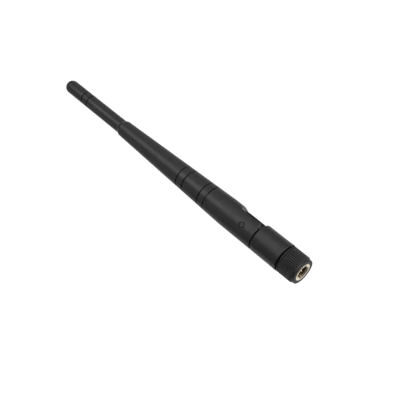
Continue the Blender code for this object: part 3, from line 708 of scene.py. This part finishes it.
def woven_braid(name, colour, roughness):
    """Fine tinned wires that cross at a slant."""
    metal = Finish(name, colour, roughness, 1.0)
    strands = []
    for lean in (1.0, -1.0):
        place = metal.stretched((1.0, 1.0, lean))
        wave = metal.node("ShaderNodeTexWave", {"Vector": place, "Scale": 2.6, "Distortion": 0.3},
                          bands_direction="DIAGONAL")
        strands.append(wave.outputs["Fac"])
    weave = metal.node("ShaderNodeMath", {0: strands[0], 1: strands[1]}, operation="MAXIMUM").outputs[0]
    tone = metal.mix(weave, shade(colour, 0.35), colour)
    metal.raise_by(weave, 0.06)
    rough = metal.between(metal.noise(4.0), roughness - 0.05, roughness + 0.1, 0.3, 0.7)
    return metal.finish(tone, rough)


def open_foam(name, colour, roughness):
    foam = Finish(name, colour, roughness)
    cells = foam.node("ShaderNodeTexVoronoi", {"Vector": foam.place, "Scale": 3.5}).outputs["Distance"]
    tone = foam.mix(foam.between(cells, 0, 1, 0.1, 0.6), shade(colour, 0.4), shade(colour, 1.1))
    foam.raise_by(cells, 0.15)
    return foam.finish(tone, foam.between(cells, roughness, roughness - 0.1))


casing_plastic = moulded_plastic("satin_black_casing", (0.019, 0.019, 0.02), 0.42, 7.0, 0.005)
grip_plastic = moulded_plastic("black_nut_grip", (0.019, 0.019, 0.02), 0.52, 9.0, 0.02)
# Near-black material that is painted shade in the slot, notch, grooves, seams and gaps.
painted_shade_black = moulded_plastic("matt_black_recess", (0.004, 0.004, 0.004), 0.9, 5.0, 0.03, 0.1)
nylon = moulded_plastic("black_nylon", (0.028, 0.028, 0.028), 0.5, 5.0, 0.02)
nut_plating = plated_metal("pale_gold_plating", (0.9, 0.79, 0.62), 0.2)
# Darker brass that is painted shade deep in the nut's bore.
thread_painted_shade = plated_metal("dull_brass_thread", (0.3, 0.2, 0.11), 0.4)
gold_plating = plated_metal("gold_plating", (0.86, 0.67, 0.36), 0.22)
brass = plated_metal("bare_brass", (0.74, 0.56, 0.28), 0.34)
copper = plated_metal("copper", (0.85, 0.46, 0.3), 0.32, turned_marks=False)
spring_steel = plated_metal("spring_steel", (0.55, 0.55, 0.56), 0.3, turned_marks=False)
pin_steel = plated_metal("blackened_pin", (0.066, 0.066, 0.067), 0.5, turned_marks=False)
braid = woven_braid("tinned_braid", (0.72, 0.71, 0.7), 0.42)
ptfe = soft_polymer("white_ptfe", (0.8, 0.79, 0.75), 0.42, Subsurface_Weight=0.15)
silicone = soft_polymer("red_silicone", (0.33, 0.06, 0.035), 0.55)
heatshrink = soft_polymer("black_heatshrink", (0.028, 0.028, 0.028), 0.5)
jacket = cable_jacket("brown_fep_jacket", (0.2, 0.085, 0.035), 0.34)
foam = open_foam("grey_foam", (0.3, 0.3, 0.31), 0.9)

CAD_FINISHES = {
    "swivel_bush": brass, "crimp_ferrule": gold_plating, "ground_sleeve": brass,
    "sleeve_end_washer": brass, "radiator_tube": brass, "radiator_wire": copper,
    "coax_upper_conductor": copper, "coax_upper_braid": braid, "coax_upper_dielectric": ptfe,
    "coax_upper_jacket": jacket, "coax_lower": jacket, "feed_heatshrink": heatshrink,
    "nut_retaining_ring": spring_steel, "swivel_snap_ring": spring_steel,
    "swivel_washer": nylon, "lower_spacer": foam, "upper_spacer": foam,
}


def place_piece(piece, material, slot, node, body=None, second=None, where=None):
    """where(centre, normal) picks the faces that get the second material."""
    piece.data.materials.clear()
    piece.data.materials.append(material)
    if second is not None:
        piece.data.materials.append(second)
        for polygon in piece.data.polygons:
            polygon.material_index = int(where(polygon.center, polygon.normal))
    if body is not None:
        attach(piece, body)
    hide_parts(node)


# ---------------------------------------------------------------- camera, light and floor

CAMERA_PLACE = Vector((0.0279, -0.2931, -0.1006))
CAMERA_TURN = Euler((2.2780, 0.7510, 0.6352))
CAMERA_LENS = 67.6
CENTRE = Vector((0.0, 0.0, 0.07))
CAMERA_SENSOR = 36.0
FLOOR_Z = -0.4
FLOOR_HALF = 3.0
FLOOR_LIGHT = 110.0


def make_camera():
    camera = bpy.data.objects.new("camera", bpy.data.cameras.new("camera"))
    camera.location = CAMERA_PLACE
    camera.rotation_euler = CAMERA_TURN
    camera.data.lens = CAMERA_LENS
    camera.data.sensor_width = CAMERA_SENSOR
    camera.data.clip_start = 0.001
    bpy.context.scene.collection.objects.link(camera)
    bpy.context.scene.camera = camera


def softbox(name, azimuth, elevation, distance, size, power):
    """A square light that faces the antenna's middle from this direction, in degrees."""
    light = bpy.data.lights.new(name, "AREA")
    light.shape = "SQUARE"
    light.size = size
    light.energy = power
    lamp = bpy.data.objects.new(name, light)
    turn, lift = math.radians(azimuth), math.radians(elevation)
    flat = math.cos(lift)
    away = Vector((flat * math.cos(turn), flat * math.sin(turn), math.sin(lift)))
    lamp.location = CENTRE + distance * away
    lamp.rotation_euler = away.to_track_quat("Z", "Y").to_euler()
    bpy.context.scene.collection.objects.link(lamp)


def make_world(seen, fill):
    """Pure white behind the antenna, and a dimmer even light on it."""
    world = bpy.data.worlds.new("studio")
    world.use_nodes = True
    bpy.context.scene.world = world
    tree = world.node_tree
    path = tree.nodes.new("ShaderNodeLightPath")
    strength = tree.nodes.new("ShaderNodeMapRange")
    strength.inputs["To Min"].default_value = fill
    strength.inputs["To Max"].default_value = seen
    tree.links.new(path.outputs["Is Camera Ray"], strength.inputs["Value"])
    background = tree.nodes["Background"]
    background.inputs["Color"].default_value = (1.0, 1.0, 1.0, 1.0)
    tree.links.new(strength.outputs["Result"], background.inputs["Strength"])


def make_floor():
    """A pale floor with its own soft light, which throws nothing back onto the antenna."""
    around = ((-1, -1), (1, -1), (1, 1), (-1, 1))
    corners = [(x * FLOOR_HALF, y * FLOOR_HALF, FLOOR_Z) for x, y in around]
    floor = new_piece("floor", corners, [(0, 1, 2, 3)])
    pale = Finish("pale_floor", (0.8, 0.8, 0.8), 0.7)
    floor.data.materials.append(pale.finish(roughness=pale.between(pale.noise(0.02), 0.65, 0.8)))
    floor.visible_diffuse = floor.visible_glossy = False
    light = bpy.data.lights.new("floor_light", "AREA")
    light.shape = "SQUARE"
    light.size = 2 * FLOOR_HALF
    light.energy = FLOOR_LIGHT
    lamp = bpy.data.objects.new("floor_light", light)
    lamp.location.z = FLOOR_Z + 0.2
    bpy.context.scene.collection.objects.link(lamp)


make_camera()
bpy.context.scene.view_settings.view_transform = "Standard"
make_world(seen=1.05, fill=0.1)
softbox("backdrop", 95, 30, 0.6, 2.4, 8.4)
softbox("back_low", 90, -15, 0.65, 1.3, 2.0)
softbox("front", -99, 0, 0.55, 0.3, 0.21)
softbox("front_right", -54, 0, 0.55, 0.3, 0.72)
softbox("tip_front", -84, 35, 0.55, 0.3, 0.78)
softbox("tip_left", -144, 35, 0.55, 0.3, 0.16)
softbox("tip_right", -24, 35, 0.55, 0.3, 0.14)
softbox("plug_right", -24, -35, 0.55, 0.3, 1.6)
softbox("left", 165, 0, 0.55, 0.3, 0.22)
make_floor()

for name, material in CAD_FINISHES.items():
    node = frame["nodes"][name]
    node.data.materials.clear()
    node.data.materials.append(material)


def on_end(centre, normal, end_z):
    """The flat end at end_z that faces the plug, short of its outer edge."""
    inside = math.hypot(centre.x, centre.y) < CASING_RADIUS - EDGE
    return inside and normal.z < -0.8 and centre.z < end_z + 0.1 * MM


def in_fork_painted_shade(centre, normal):
    """Faces painted black as shade: the slot's upper part, the notch's floor, the ears' ends and the
    fork's side of the seam.
    """
    near = 0.1 * MM
    in_slot = (
        abs(centre.y) < SLOT_HALF_WIDTH + near
        and -SLOT_RADIUS - near < centre.x < NOTCH_FLOOR_X + near
        and SLOT_SHADE_START_Z < centre.z < HINGE_Z + SLOT_RADIUS + near
    )
    shade_end = NOTCH_FLOOR_Z - NOTCH_SHADE_SLANT * abs(centre.y)
    on_floor = abs(centre.x - NOTCH_FLOOR_X) < near and centre.z < shade_end
    at_seam = centre.z > SEAM_Z - SEAM_SHADE
    return in_slot or on_floor or at_seam or on_end(centre, normal, EAR_END_Z)


def in_base_painted_shade(centre, normal):
    """The base's end over the nut, painted black as shade."""
    return on_end(centre, normal, BASE_Z)


def in_groove_painted_shade(centre, normal):
    """The ring grooves' floors and the radome's side of the seam, painted black as shade."""
    in_groove = any(abs(centre.z - groove) < 0.5 * GROOVE_HALF_WIDTH for groove in RING_GROOVES_Z)
    return in_groove or centre.z < SEAM_Z + SEAM_SHADE


def in_bore_painted_shade(centre, normal):
    """The nut's thread and what lies behind it, painted as darker brass for the shade deep in the bore."""
    wall = THREAD_RADIUS + 1.2 * THREAD_DEPTH
    return centre.z > 0.8 * MM and math.hypot(centre.x, centre.y) < wall


def flange_painted_shade(centre, normal):
    """The flange's rim and rear face, which the gap behind the nut shows, painted black as shade."""
    beyond_body = math.hypot(centre.x, centre.y) > PLUG_BODY_RADIUS - PIECE_GAP
    return beyond_body and centre.z > FLANGE_Z - 0.15 * MM


def place_casing(piece, node, body, where):
    place_piece(piece, casing_plastic, "casing_plastic", node, body, painted_shade_black, where)


# Black painted shade goes on the faces that each mask picks.
place_casing(make_fork(), "fork_housing", "whip", in_fork_painted_shade)
place_casing(make_radome(), "radome", "whip", in_groove_painted_shade)
place_casing(make_base(), "swivel_housing", "swivel_base", in_base_painted_shade)
nut = "coupling_nut"
place_piece(make_grip(), grip_plastic, "grip_plastic", "coupling_nut_grip", nut)
insert = make_insert()
# The bore's thread gets the darker brass of painted shade.
place_piece(insert, nut_plating, "nut_plating", "coupling_nut_insert", nut, thread_painted_shade, in_bore_painted_shade)
# The flange's rim and rear face get black painted shade.
shell, flange = make_plug_shell(), (painted_shade_black, flange_painted_shade)
place_piece(shell, gold_plating, "gold_plating", "connector_shell", "connector", *flange)
place_piece(make_contact(), gold_plating, "gold_plating", "centre_contact", "connector")
place_piece(make_insulator(), ptfe, "ptfe", "contact_insulator", "connector")
place_piece(make_gasket(), silicone, "silicone", "sealing_gasket", "connector")
for pin_name, pin_side in (("left", -1), ("right", 1)):
    pin = make_pin(f"hinge_stub_{pin_name}", pin_side)
    place_piece(pin, pin_steel, "pin_steel", f"hinge_pin_{pin_name}", "whip")

cable = make_flexing_cable()
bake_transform(cable)
place_piece(cable, jacket, "cable_jacket", "coax_hinge_section")
